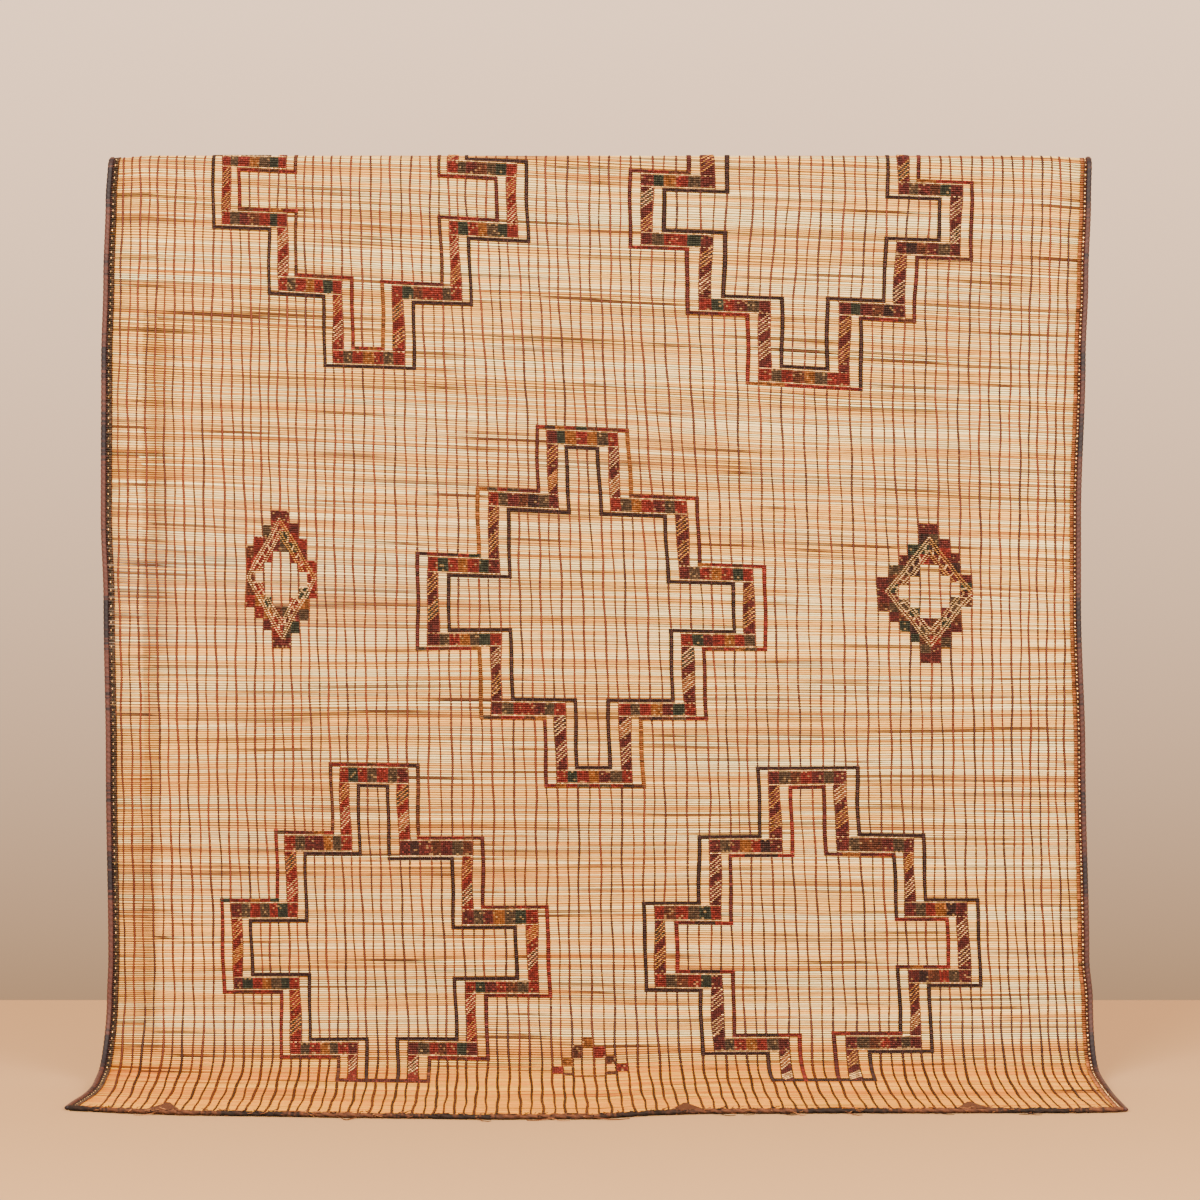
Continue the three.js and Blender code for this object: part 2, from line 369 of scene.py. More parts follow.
EVEN = (1, 1, 1)
ALONG_REEDS = (6, 90, 90)
# roughness, stretch, grain scale, grain depth, bump and specular of each
reed_skin = tinted_material("reed_skin", 0.6, ALONG_REEDS, 9.0, 0.24, 0.35, 0.2)
woven_leather = tinted_material("woven_leather", 0.62, EVEN, 420.0, 0.35, 0.5, 0.3)
strip_leather = tinted_material("strip_leather", 0.6, EVEN, 260.0, 0.4, 0.5, 0.3)
roll_leather = tinted_material("roll_leather", 0.6, EVEN, 180.0, 0.4, 0.6, 0.3)
thong_leather = tinted_material("thong_leather", 0.75, EVEN, 220.0, 0.5, 0.8, 0.25)


def on_mat(piece):
    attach(piece, "root")
    return piece


# The reeds
REED_PITCH = 6.4
REED_HALF_THICKNESS = 2.6
REED_SIDES = 5
# how much the reeds' widths vary, and the thinnest and thickest as shares of the usual
REED_VARIES, REED_THINNEST, REED_THICKEST = 0.16, 0.65, 1.4
# each reed is a little wider than its place, lifted or lowered a little, and flatter or fuller than the rest
REED_OVERLAP = 1.04
REED_LIFT = 0.25
REED_UV_SHARE = 0.9
REED_FLATTEST, REED_FULLEST = 0.86, 1.06
BEHIND_FOLD = -44.0
REED_BANDS = [
    ("reeds_back", START, BEHIND_FOLD),
    ("reeds_top", BEHIND_FOLD, 750.0),
    ("reeds_middle", 750.0, 1550.0),
    ("reeds_low", 1550.0, 2400.0),
    ("reeds_foot", 2400.0, END),
]
CREAM = srgb(255, 202, 106)
PALE_AND_HIGHLIGHT = srgb(255, 238, 172)
TAN = srgb(208, 146, 66)
ORANGE = srgb(176, 112, 44)
BROWN = srgb(88, 50, 24)
GREY = srgb(150, 122, 78)
# painted shade and highlight on each reed by corner: its two sides, in the gaps between reeds, and its
# underside are darkened, and its top is a little lightened
CORNER_SHADE = np.array([0.42, 1.06, 0.5, 0.8, 0.8])
# where each reed has a ring of points, with some more at the two edges of the dark column
REED_PLACES = np.sort(np.concatenate([np.linspace(-1, 1, 27), [-0.933, -0.928, -0.900, -0.895]]))
# down one column at the left the reeds are tinted browner and the painted shade in the gaps between them is
# deeper: where, how much deeper, and how soft its edges are
DARK_COLUMN_FROM, DARK_COLUMN_TO, DARK_COLUMN_STARTS, DARK_COLUMN_ENDS = -1290.0, -1243.0, 480.0, 2560.0
COLUMN_GAP_SHADE = 4.0
DARK_COLUMN_SOFT_ACROSS, DARK_COLUMN_SOFT_ALONG = 4, 60
# how deep the painted shade in the gaps beside a reed is, as powers of the corner shades
GAP_SHADE_DEPTHS = [0.1, 0.5, 1.0, 1.8, 3.0, 5.0]
GAP_SHADE_LESS, GAP_SHADE_MORE = -0.2, 0.9
# the painted shade between reeds takes more of the blue than of the red
GAP_SHADE_HUE = np.array([0.8, 1.0, 1.2])
# how cream and tan are shared out among the reeds, and how fast a reed changes from one to the other
TAN_SPREAD = (0.8, 1.5)
TAN_DRIFT = 0.07
# the streaks on the reeds: colour, how many, shortest and longest; the pale streaks are partly paler reed
# and partly painted highlight, where a glossy reed catches the light
STREAKS = [
    (ORANGE, 640, 60, 420),
    (BROWN, 900, 30, 360),
    (GREY, 260, 100, 500),
    (PALE_AND_HIGHLIGHT, 1700, 80, 1200),
]
STREAK_WEAKEST = 0.35
STREAK_LEAD = 300

reed_count = round((END - START) / REED_PITCH)
reed_weights = 1 + REED_VARIES * rng.standard_normal(reed_count)
reed_weights = np.clip(reed_weights, REED_THINNEST, REED_THICKEST)
reed_bounds = START + (END - START) * np.concatenate([[0], np.cumsum(reed_weights)]) / reed_weights.sum()
reed_middle = (reed_bounds[1:] + reed_bounds[:-1]) / 2
reed_half = (reed_bounds[1:] - reed_bounds[:-1]) / 2


def streaks(places, count, shortest, longest):
    """How strongly random streaks cover each place, for one reed after another: reeds by places."""
    cover = np.zeros((reed_count, len(places)))
    reeds = rng.integers(0, reed_count, count)
    starts = rng.uniform(-HALF_WIDTH - STREAK_LEAD, HALF_WIDTH, count)
    lengths = rng.uniform(shortest, longest, count)
    power = rng.uniform(STREAK_WEAKEST, 1.0, count)
    for reed, start, length, strength in zip(reeds, starts, lengths, power):
        inside = (places > start) & (places < start + length)
        cover[reed, inside] = np.maximum(cover[reed, inside], strength)
    return cover


def patch_of(value, low, high, soft):
    """1 between low and high and 0 outside, with soft ends."""
    return smooth(low - soft, low + soft, value) * (1 - smooth(high - soft, high + soft, value))


# Faded and stained places, and a painted shade over the middle of the face: low and high along and across,
# how soft, and how much red, green and blue is left
STAINS_AND_SHADE = [
    (DARK_COLUMN_STARTS, DARK_COLUMN_ENDS, DARK_COLUMN_FROM, DARK_COLUMN_TO, DARK_COLUMN_SOFT_ACROSS, DARK_COLUMN_SOFT_ALONG, (0.66, 0.53, 0.40)),
    (558, 598, -1365, -950, 6, 6, (0.84, 0.76, 0.68)),
    # a painted shade over the middle of the face, so that its sides look more brightly lit
    (-100, 2500, -1000, 1080, 200, 200, (0.93, 0.93, 0.94)),
    (400, 1500, 960, 1075, 60, 90, (0.90, 0.86, 0.86)),
    (1500, 2700, -1400, 100, 260, 500, (0.95, 0.88, 0.80)),
    (1250, 1400, -600, 200, 160, 70, (0.93, 0.88, 0.82)),
    (820, 980, 0, 420, 120, 40, (0.93, 0.90, 0.86)),
    (2300, 2800, 0, 1000, 300, 300, (0.97, 0.92, 0.85)),
    (2570, 3300, -1600, 1600, 60, 80, (0.80, 0.50, 0.09)),
    (-100, 130, -1600, 1600, 60, 60, (1.0, 0.96, 0.88)),
]


def stain_and_shade_at(along, across):
    """How much red, green and blue the stains and the painted shade leave at places on the mat."""
    left = np.ones(np.broadcast(along, across).shape + (3,))
    for low, high, first, last, soft_across, soft_along, share in STAINS_AND_SHADE:
        cover = patch_of(along, low, high, soft_along) * patch_of(across, first, last, soft_across)
        left *= 1 - cover[..., None] * (1 - np.array(share))
    return left


def reed_tints(places):
    """The colour of each reed at places across the mat: reeds, places and red, green and blue."""
    base = rng.beta(*TAN_SPREAD, reed_count)[:, None]
    drift = np.cumsum(rng.standard_normal((reed_count, len(places))) * TAN_DRIFT, axis=1)
    shade = np.clip(base + drift - drift.mean(1, keepdims=True), 0, 1)[..., None]
    tint = CREAM * (1 - shade) + TAN * shade
    for colour, count, shortest, longest in STREAKS:
        cover = streaks(places, count, shortest, longest)[..., None]
        tint = tint * (1 - cover) + colour * cover
    return tint


def make_reeds():
    """The five bands of reeds, each with its length along the mat."""
    places = REED_PLACES
    tints = reed_tints(places * HALF_WIDTH)
    angle = 2 * math.pi * (np.arange(REED_SIDES) + 0.25) / REED_SIDES
    made = []
    for name, low, high in REED_BANDS:
        chosen = np.flatnonzero((reed_middle >= low) & (reed_middle < high))
        middle = reed_middle[chosen][:, None]
        left, right = left_edge(middle), right_edge(middle)
        share = (places[None, :] + 1) / 2
        across = left + (right - left) * share
        along = reed_along(middle, across)
        # the reeds end flush with the mat's side edges where they now lie
        across = left_edge(along) + (right_edge(along) - left_edge(along)) * share
        half = reed_half[chosen][:, None, None] * REED_OVERLAP
        lift = rng.uniform(-REED_LIFT, REED_LIFT, (len(chosen), 1, 1))
        thick = REED_HALF_THICKNESS * rng.uniform(REED_FLATTEST, REED_FULLEST, (len(chosen), 1, 1))
        points = surface(
            along[..., None] - half * np.cos(angle),
            across[..., None] + 0 * angle,
            lift + thick * np.sin(angle),
        )
        tint = tints[chosen] * stain_and_shade_at(along, across)
        # the column at the left where the painted shade in the gaps between reeds is deeper
        worn = patch_of(across, DARK_COLUMN_FROM, DARK_COLUMN_TO, DARK_COLUMN_SOFT_ACROSS)
        worn = worn * patch_of(along, DARK_COLUMN_STARTS, DARK_COLUMN_ENDS, DARK_COLUMN_SOFT_ALONG)
        # painted shade in the gaps beside each reed and on its underside, with a little painted highlight on
        # its top
        depth = rng.choice(GAP_SHADE_DEPTHS, (len(chosen), 1))
        depth = depth + rng.uniform(GAP_SHADE_LESS, GAP_SHADE_MORE, (len(chosen), len(places)))
        dark = CORNER_SHADE ** (depth + COLUMN_GAP_SHADE * worn)[..., None]
        tint = tint[:, :, None, :] * dark[..., None] ** GAP_SHADE_HUE
        u = np.broadcast_to(share[..., None], points.shape[:3])
        v = (middle[..., None] - half * np.cos(angle) * REED_UV_SHARE - low) / (high - low) + 0 * u
        uv = in_uv(np.stack([u, np.clip(v, 0, 1)], -1))
        piece = bars_piece(name, points, reed_skin, tint, uv)
        made.append((on_mat(piece), high - low))
    return made


reeds = make_reeds()

# The leather strips between the reeds, over one reed and behind the next
RUST = srgb(116, 50, 27)
DARK_RED = srgb(66, 28, 22)
STRIP_HALF_WIDTH = 3.5
STRIP_OVER, STRIP_UNDER, STRIP_FOOT = 4.1, 3.3, 1.9
# behind the mat a strip shows only at every fourth reed
BACK_STRIDE = 4
# where dark red takes over from rust: how strongly, how much the next strip is ahead, and over what length
DARK_WAVES = [(0.3, 1.9, 260.0), (0.25, 4.7, -97.0)]
DARK_SHARE = 0.3
DARK_LOWER, LOWER_STARTS, LOWER_ENDS = 0.3, 1500, 2600
DARK_RIGHT, RIGHT_ENDS = 0.3, 70
# painted shade on a strip where it dips behind a reed
BEHIND_REED_SHADE = 0.7
# the strips' width: its usual share, how much it varies, and over what length
WIDTH_SHARE, WIDTH_VARIES, WIDTH_AHEAD, WIDTH_WAVE = 0.86, 0.18, 3.1, 190.0
# the strips are darker and wider on the foot
FOOT_DARKER, FOOT_WIDER, FOOT_STARTS, FOOT_ENDS = 0.35, 0.3, 2450, 2620


def strip_tint(strip, middle, over):
    """Rust to dark red, slowly changing along each strip, with painted shade where it dips behind a reed."""
    waves = [power * np.sin(strip * ahead + middle / wave) for power, ahead, wave in DARK_WAVES]
    share = DARK_SHARE + sum(waves)
    share = share + DARK_LOWER * smooth(LOWER_STARTS, LOWER_ENDS, middle)
    share = np.clip(share + DARK_RIGHT * smooth(0, RIGHT_ENDS, strip), 0, 1)[..., None]
    tint = RUST * (1 - share) + DARK_RED * share
    foot = 1 - FOOT_DARKER * smooth(FOOT_STARTS, FOOT_ENDS, middle)
    return tint * (foot * np.where(over, 1.0, BEHIND_REED_SHADE))[..., None]


def make_strips():
    """The strips on the face in two halves, and those behind it, each a bar of three sides."""
    half = STRIPS // 2
    for name, first, last, face in (
        ("strips_left", 0, half, True),
        ("strips_right", half, STRIPS, True),
        ("strips_behind", 0, STRIPS, False),
    ):
        strip = np.arange(first, last)[:, None]
        middle = reed_middle if face else reed_middle[::BACK_STRIDE]
        number = np.arange(len(middle))
        over = (number + strip) % 2 == 0
        width = WIDTH_SHARE + WIDTH_VARIES * np.sin(strip * WIDTH_AHEAD + middle / WIDTH_WAVE)
        width = STRIP_HALF_WIDTH * width * (1 + FOOT_WIDER * smooth(FOOT_STARTS, FOOT_ENDS, middle))
        top = np.where(over, STRIP_OVER, STRIP_UNDER)
        sides = np.stack([0 * width, -width, width], -1)
        outs = np.stack([top, 0 * top + STRIP_FOOT, 0 * top + STRIP_FOOT], -1)
        if not face:
            outs = -outs
            sides = sides[..., ::-1]
            outs = outs[..., ::-1]
        shape = sides.shape
        strips = np.broadcast_to(strip[..., None], shape).ravel().astype(float)
        middles = np.broadcast_to(middle[None, :, None], shape).ravel()
        across = strip_across(strips, middles)
        along = reed_along(middles, across)
        across = strip_across(strips, along) + sides.ravel()
        points = surface(along, across, outs.ravel()).reshape(*shape, 3)
        tint = strip_tint(strip + 0 * middle, middle + 0 * strip, over)[:, :, None, :]
        sideways = np.array([0.0, -0.3, 0.3])[:, None, None]
        u = (strip - first + 0.5 + sideways) / (last - first)
        u = np.moveaxis(np.broadcast_to(u, (3, last - first, 1)), 0, -1)
        v = ((middle - START) / (END - START))[None, :, None]
        uv = np.stack(np.broadcast_arrays(u, v + 0 * u), -1)
        on_mat(bars_piece(name, points, strip_leather, tint, uv))


make_strips()

# The pattern's floats: short lengths of dyed leather that cross the reeds side by side
# red, maroon, green, olive, ochre, brown, dark, cream, yellow and tan
DYES = {
    "R": srgb(104, 30, 23),
    "M": srgb(76, 28, 26),
    "G": srgb(40, 44, 34),
    "K": srgb(68, 52, 38),
    "O": srgb(124, 72, 26),
    "B": srgb(80, 42, 27),
    "D": srgb(48, 27, 25),
    "C": srgb(230, 184, 118),
    "Y": srgb(204, 142, 56),
    "T": srgb(146, 86, 44),
}
DYE_VARIES = 0.36
LOW_SHADE = 0.8
# the share of worn floats, and how much of the cream shows through them
WORN_SHARE, WORN_CREAM = 0.05, 0.3
FLOAT_FOOT, FLOAT_TOP, FLOAT_LOW, DOT_TOP = 3.1, 5.0, 4.4, 5.8
FLOATS_IN_GAP = 5
FLOAT_PITCH = 6.0
# half a float's length as a share of its place, so that it overlaps the next one a little
FLOAT_HALF_SHARE = 0.52
LINE_HALF_STRIP = 0.19
DOT_HALF_STRIP, DOT_HALF = 0.09, 1.7
# a float is a low roof: four corners at its foot and a ridge of two points
ROOF_SIDE = np.array([-1, 1, 1, -1, -1, 1])
ROOF_END = np.array([-1, -1, 1, 1, 0, 0])
ROOF_SLOPES = np.array([4, 5, 1, 0, 3, 2, 5, 4, 0, 1, 2, 3])
ROOF_GABLES = np.array([0, 3, 4, 1, 5, 2])
ROOF_FACES = [4, 4, 4, 3, 3]
ROOF_FEET = 4


class Floats:
    """The floats of one motif: strip, half width in strips, middle, half length, dye and height."""

    def __init__(self, name):
        self.name = name
        self.rows = []
        self.tints = []

    def add(self, strip, half_strip, middle, half, dye, top, worn=0.0):
        shape = np.broadcast(strip, middle, top)
        values = (strip, half_strip, middle, half, top)
        row = [np.broadcast_to(value, shape.shape).ravel() for value in values]
        self.rows.append(np.stack(row, -1).astype(float))
        tint = DYES[dye] * np.exp(DYE_VARIES * rng.standard_normal((shape.size, 1)))
        if worn:
            pale = rng.random((shape.size, 1)) < worn
            tint = np.where(pale, (1 - WORN_CREAM) * tint + WORN_CREAM * DYES["C"], tint)
        low = np.broadcast_to(top, shape.shape).ravel()[:, None] < FLOAT_TOP
        self.tints.append(tint * np.where(low, LOW_SHADE, 1.0))

    def block(self, first, last, low, high, dye, rows=None, worn=WORN_SHARE):
        """A filled rectangle from one strip to another, and between two places along the mat."""
        columns = max(1, round((last - first) * FLOATS_IN_GAP))
        rows = rows or max(1, round((high - low) / FLOAT_PITCH))
        column = np.arange(columns)[:, None]
        row = np.arange(rows)[None, :]
        strip = first + (last - first) * (column + 0.5) / columns
        middle = low + (high - low) * (row + 0.5) / rows
        top = np.where((column + row) % 2 == 0, FLOAT_TOP, FLOAT_LOW)
        half = (high - low) / rows * FLOAT_HALF_SHARE
        self.add(strip, (last - first) / columns * 0.5, middle, half, dye, top, worn)

    def upright(self, strip, low, high, dye):
        """A line of floats on one strip."""
        rows = max(1, round(abs(high - low) / FLOAT_PITCH))
        middle = low + (high - low) * (np.arange(rows) + 0.5) / rows
        top = np.where(np.arange(rows) % 2 == 0, FLOAT_TOP, FLOAT_LOW)
        self.add(strip, LINE_HALF_STRIP, middle, abs(high - low) / rows * FLOAT_HALF_SHARE, dye, top)

    def level(self, first, last, low, high, dyes):
        """A line of floats across the strips, with the dyes shared out along it."""
        count = len(dyes)
        for number, dye in enumerate(dyes):
            start = first + (last - first) * number / count
            end = first + (last - first) * (number + 1) / count
            self.block(start, end, low, high, dye, rows=2, worn=0)

    def dots(self, strips, middles, dye):
        self.add(np.asarray(strips), DOT_HALF_STRIP, np.asarray(middles), DOT_HALF, dye, DOT_TOP)

    def build(self, place=cell_points):
        """Make the piece; place turns strips, middles and outs into points."""
        strip, half_strip, middle, half, top = np.concatenate(self.rows).T[:, :, None]
        tint = np.concatenate(self.tints)
        strips = strip + half_strip * ROOF_SIDE
        middles = middle + half * ROOF_END
        outs = np.where(np.arange(len(ROOF_SIDE)) < ROOF_FEET, FLOAT_FOOT, top)
        points = place(strips, middles, outs)
        count = len(strip)
        base = np.arange(count)[:, None] * len(ROOF_SIDE)
        corners = np.concatenate([base + ROOF_SLOPES, base + ROOF_GABLES], 1).ravel()
        sides = np.tile(ROOF_FACES, count)
        low_strip, high_strip = strips.min(), strips.max()
        low, high = middles.min(), middles.max()
        u = (strips - low_strip) / (high_strip - low_strip)
        v = (middles - low) / (high - low)
        tint = np.repeat(tint[:, None, :], len(ROOF_SIDE), 1)
        uv = in_uv(np.stack([u, v], -1))
        piece = mesh_piece(self.name, points, corners, sides, woven_leather, tint, uv)
        return on_mat(piece)


# the slanting lines of a band: how far each rises, their spacing and number, and the spacing of the groups
SLANT_RISE = 28.0
SLANT_STEP = 12.2
SLANTS_IN_GROUP = 4
GROUP_SPACE, GROUP_VARIES = 74.0, 4
GROUP_FIRST, GROUP_LAST = 2, 14
GROUP_OVERRUN = 6
SLANT_LEAD = 8
# the darker floats between the slanting lines
BETWEEN_HALF, BETWEEN_TOP, BETWEEN_CLEAR = 3.6, FLOAT_TOP + 0.2, 3


def slanted_band(floats, gap, low, high, base):
    """An upright band of the base dye, one gap wide, with groups of pale slanting lines on it."""
    floats.block(gap, gap + 1, low, high, base)
    start = low + rng.uniform(GROUP_FIRST, GROUP_LAST)
    while start + SLANT_STEP * SLANTS_IN_GROUP < high + GROUP_OVERRUN:
        line = "Y" if rng.random() < 0.5 else "C"
        ground = rng.choice(["D", "O", "G", "B", base])
        share = (np.arange(FLOATS_IN_GAP + 1) + 0.5) / (FLOATS_IN_GAP + 1)
        for number in range(SLANTS_IN_GROUP):
            middle = start + SLANT_STEP * number + SLANT_RISE * (1 - share) - SLANT_LEAD
            inside = (middle > low) & (middle < high)
            floats.dots(gap + share[inside], middle[inside], line)
            between = middle + SLANT_STEP / 2
            inside = (between > low) & (between < high - BETWEEN_CLEAR)
            if number < SLANTS_IN_GROUP - 1:
                strips = gap + share[inside]
                floats.add(strips, DOT_HALF_STRIP, between[inside], BETWEEN_HALF, ground, BETWEEN_TOP)
        start += GROUP_SPACE + rng.uniform(-GROUP_VARIES, GROUP_VARIES)


LINE_DEPTH = 10.5
CLOSING_LINE = 2.4
PALE_LINE_GAP = 2.0
PALE_LINE_HALF = 1.4
# the band of blocks starts this far inside the outer line's edge, and ends this far before the inner line
BAND_STARTS, BAND_ENDS = 14.0, 4.5
INNER_STRIPS = 3
# each level run of a cross: its row, and the columns at its left and right
LEVEL_RUNS = [
    (0, 2, 3),
    (1, 1, 2),
    (1, 3, 4),
    (2, 0, 1),
    (2, 4, 5),
    (3, 0, 1),
    (3, 4, 5),
    (4, 1, 2),
    (4, 3, 4),
    (5, 2, 3),
]


def cross(name, columns, rows, insets, dyes, lines, cut_off=False):
    """A stepped cross: an outer line, a band of blocks and slants inside it, and an inner line.

    columns are the strips of its six upright edges and rows its six level edges, at their left and right.
    insets is how far the inner line lies inside the outer one at the upper three and lower three rows.
    dyes gives the blocks of each level run, and lines the dyes of the outer line's level runs, its
    uprights, the inner line's level runs and its uprights. A cross that is cut off has only one line at
    its last row.
    """
    floats = Floats(name)
    left_line, right_line = columns[1], columns[4]
    rows = np.array([row if isinstance(row, tuple) else (row, row) for row in rows], float)
    outer_level, outer_upright, inner_level, inner_upright = lines

    def row_at(row, strip, depth):
        share = min(max((strip - left_line) / (right_line - left_line), 0), 1)
        place = rows[row, 0] * (1 - share) + rows[row, 1] * share
        return place + (depth if row < 3 else -depth)

    def inset_at(row):
        if cut_off and row == 5:
            return 0
        return insets[0] if row < 3 else insets[1]

    for number, (row, first, last) in enumerate(LEVEL_RUNS):
        at = (columns[first] + columns[last]) / 2
        downward = 1 if row < 3 else -1
        start_side = 1 if first < 3 else -1
        end_side = 1 if last < 3 else -1
        inset = inset_at(row)
        for depth, strips_in, dye_sets in ((0, 0, outer_level), (inset, INNER_STRIPS, inner_level)):
            start = columns[first] + start_side * strips_in - LINE_HALF_STRIP
            end = columns[last] + end_side * strips_in + LINE_HALF_STRIP
            edge = row_at(row, at, depth)
            line_depth = LINE_DEPTH * (CLOSING_LINE if inset == 0 else 1)
            low, high = sorted((edge, edge + downward * line_depth))
            if inset or strips_in == 0:
                floats.level(start, end, low, high, dye_sets[number % len(dye_sets)])
        if inset == 0:
            continue
        start = columns[first] + (1 if first < 3 else -2)
        end = columns[last] + (2 if last < 3 else -1)
        low, high = sorted((row_at(row, at, BAND_STARTS), row_at(row, at, inset - BAND_ENDS)))
        for edge in (low - PALE_LINE_GAP, high + PALE_LINE_GAP):
            floats.block(start, end, edge - PALE_LINE_HALF, edge + PALE_LINE_HALF, "C", rows=1)
        for place in range(round(end - start)):
            dye = dyes[number][place % len(dyes[number])]
            floats.block(start + place, start + place + 1, low, high, dye)

    for step in range(3):
        for upper, lower in sorted({(2 - step, 3 - step), (2 + step, 3 + step)}):
            for column, inward in ((step, 1), (5 - step, -1)):
                strip = columns[column]
                gap = strip + 1 if inward > 0 else strip - 2
                starts = inset_at(upper) - BAND_ENDS if upper < 3 else BAND_STARTS
                ends = BAND_STARTS if lower < 3 else max(inset_at(lower) - BAND_ENDS, LINE_DEPTH)
                low, high = row_at(upper, strip, starts), row_at(lower, strip, ends)
                slanted_band(floats, gap, low, high, dyes[0][0])
                low, high = row_at(upper, strip, 0), row_at(lower, strip, 0)
                floats.upright(strip, low, high, outer_upright[column])
                low = row_at(upper, strip, inset_at(upper))
                high = row_at(lower, strip, inset_at(lower))
                floats.upright(strip + INNER_STRIPS * inward, low, high, inner_upright[column])
    return floats.build()


cross(
    "motif_top_left",
    (10, 16, 22, 31, 37, 43),
    (-332, -137, (46, 40), (275, 272), (455, 462), 655),
    (51, 55),
    [
        "RGROKGR", "RKROKGR", "RGRORGR", "RKROKGR", "RKMBKGR",
        "RKMBRGR", "RGROKGR", "RKRORGR", "RGBRRKR", "RKRORKR",
    ],
    (["DDD"], "DDDDDD", ["RM", "BROR", "MRM", "RBR"], "RBROBM"),
)
cross(
    "motif_top_right",
    (53, 58, 63, 73, 78, 83),
    (-334, -137, (47, 42), (279, 275), (461, 455), (653, 655)),
    (51, 52),
    [
        "MGRKRGRM", "MKRBGM", "MKRBGM", "MGORKM", "MKMBGM",
        "MKRRGM", "MDBMKM", "RGRMKM", "MGMBDM", "RKRBOKRR",
    ],
    (["RMR", "MMB", "MR", "MRB", "ORR"], "MMRDMM", ["DDD"], "DDDDDD"),
)
cross(
    "motif_middle",
    (31, 37, 43, 52, 58, 64),
    (795, (977, 977), (1165, 1172), (1434, 1430), 1630, 1822),
    (55, 52),
    [
        "MGOROKR", "RKMBDKM", "RKORMKR", "RGRORGM", "MKRORGR",
        "MKROKGR", "RGMRORK", "MKRRMKR", "RKROMGR", "RGROMKR",
    ],
    (
        [
            "RDORGBRBR", "OKRKMM", "BRMBRR", "DRMDRG", "ORRBRR",
            "KRBRRO", "RBROKR", "KBRRBO", "BDBKRR", "RORKRKRDB",
        ],
        "MOMOMR",
        ["DDD"],
        "DDDDDD",
    ),
)
cross(
    "motif_low_left",
    (10, 16, 22, 31, 37, 43),
    ((1753, 1761), (1945, 1964), (2137, 2158), (2412, 2426), 2597, 2708),
    (59, 50),
    [
        "RGRKRKM", "RKMMOKR", "MDMBMKB", "MKRKRGR", "MKMOKGR",
        "MGROKGR", "RGMRBKR", "RKROKRM", "MKRBRGM", "R",
    ],
    (
        [
            "RRBRBRRMD", "KMMBOR", "RMMRBM", "GRRORG", "RMBRMR",
            "RMBRRM", "MRBRMR", "RBMRRB", "RMRBRM", "M",
        ],
        "RRBBMR",
        ["DDD"],
        "DDDDDD",
    ),
    cut_off=True,
)
cross(
    "motif_low_right",
    (52, 57, 63, 72, 78, 83),
    ((1760, 1757), (1960, 1952), (2151, 2137), (2405, 2392), (2589, 2582), 2720),
    (56, 53),
    [
        "MKBRMKM", "MKMORDM", "MKBBMKM", "RBRKGR", "MKRODM",
        "RKBRGM", "MDBRKM", "MKRORKM", "MKBRMKM", "M",
    ],
    (["DDD"], "DDDDDD", ["RMMR", "RDDR", "MOMR", "MDR"], "RMRMDR"),
    cut_off=True,
)

# The two stepped diamonds: for each gap, where it starts and ends and where its hole does
LEFT_DIAMOND = {
    13: (1166, 1323),
    14: (1139, 1352, 1230, 1259),
    15: (1107, 1382, 1207, 1295),
    16: (1066, 1428, 1180, 1320),
    17: (1066, 1428, 1180, 1320),
    18: (1099, 1389, 1208, 1297),
    19: (1142, 1355, 1231, 1270),
    20: (1199, 1297),
}
RIGHT_DIAMOND = {
    74: (1195, 1306),
    75: (1157, 1337),
    76: (1127, 1367, 1219, 1265),
    77: (1094, 1398, 1191, 1293),
    78: (1033, 1459, 1153, 1322),
    79: (1033, 1459, 1153, 1322),
    80: (1076, 1413, 1185, 1288),
    81: (1116, 1365, 1205, 1253),
    82: (1180, 1285),
}
DIAMOND_CELL = 30.0
# the four nested lines of dots, their dots' spacing, and about how wide a strip's place is
LATTICE_SIZES = (1.0, 0.92, 0.77, 0.69)
DOT_PITCH = 6.4
STRIP_SPACE = 26
# the short links between the two pairs of lines: where along a side they are, and how far they reach
LINKS = (0.1, 0.26, 0.42, 0.58, 0.74, 0.9)
LINK_REACH = np.linspace(0.8, 0.89, 3)
TIP_REACH = 1.1
DIAMOND_DYES = "RMOGKDB"
LEFT_SHARES = [0.4, 0.26, 0.06, 0.1, 0.06, 0.04, 0.08]
RIGHT_SHARES = [0.08, 0.42, 0.02, 0.1, 0.12, 0.14, 0.12]


def in_diamond(chart, strip, middle):
    """Whether a place lies on the ring of a diamond."""
    column = chart.get(int(math.floor(strip)))
    if column is None or not column[0] < middle < column[1]:
        return False
    return len(column) == 2 or not column[2] < middle < column[3]


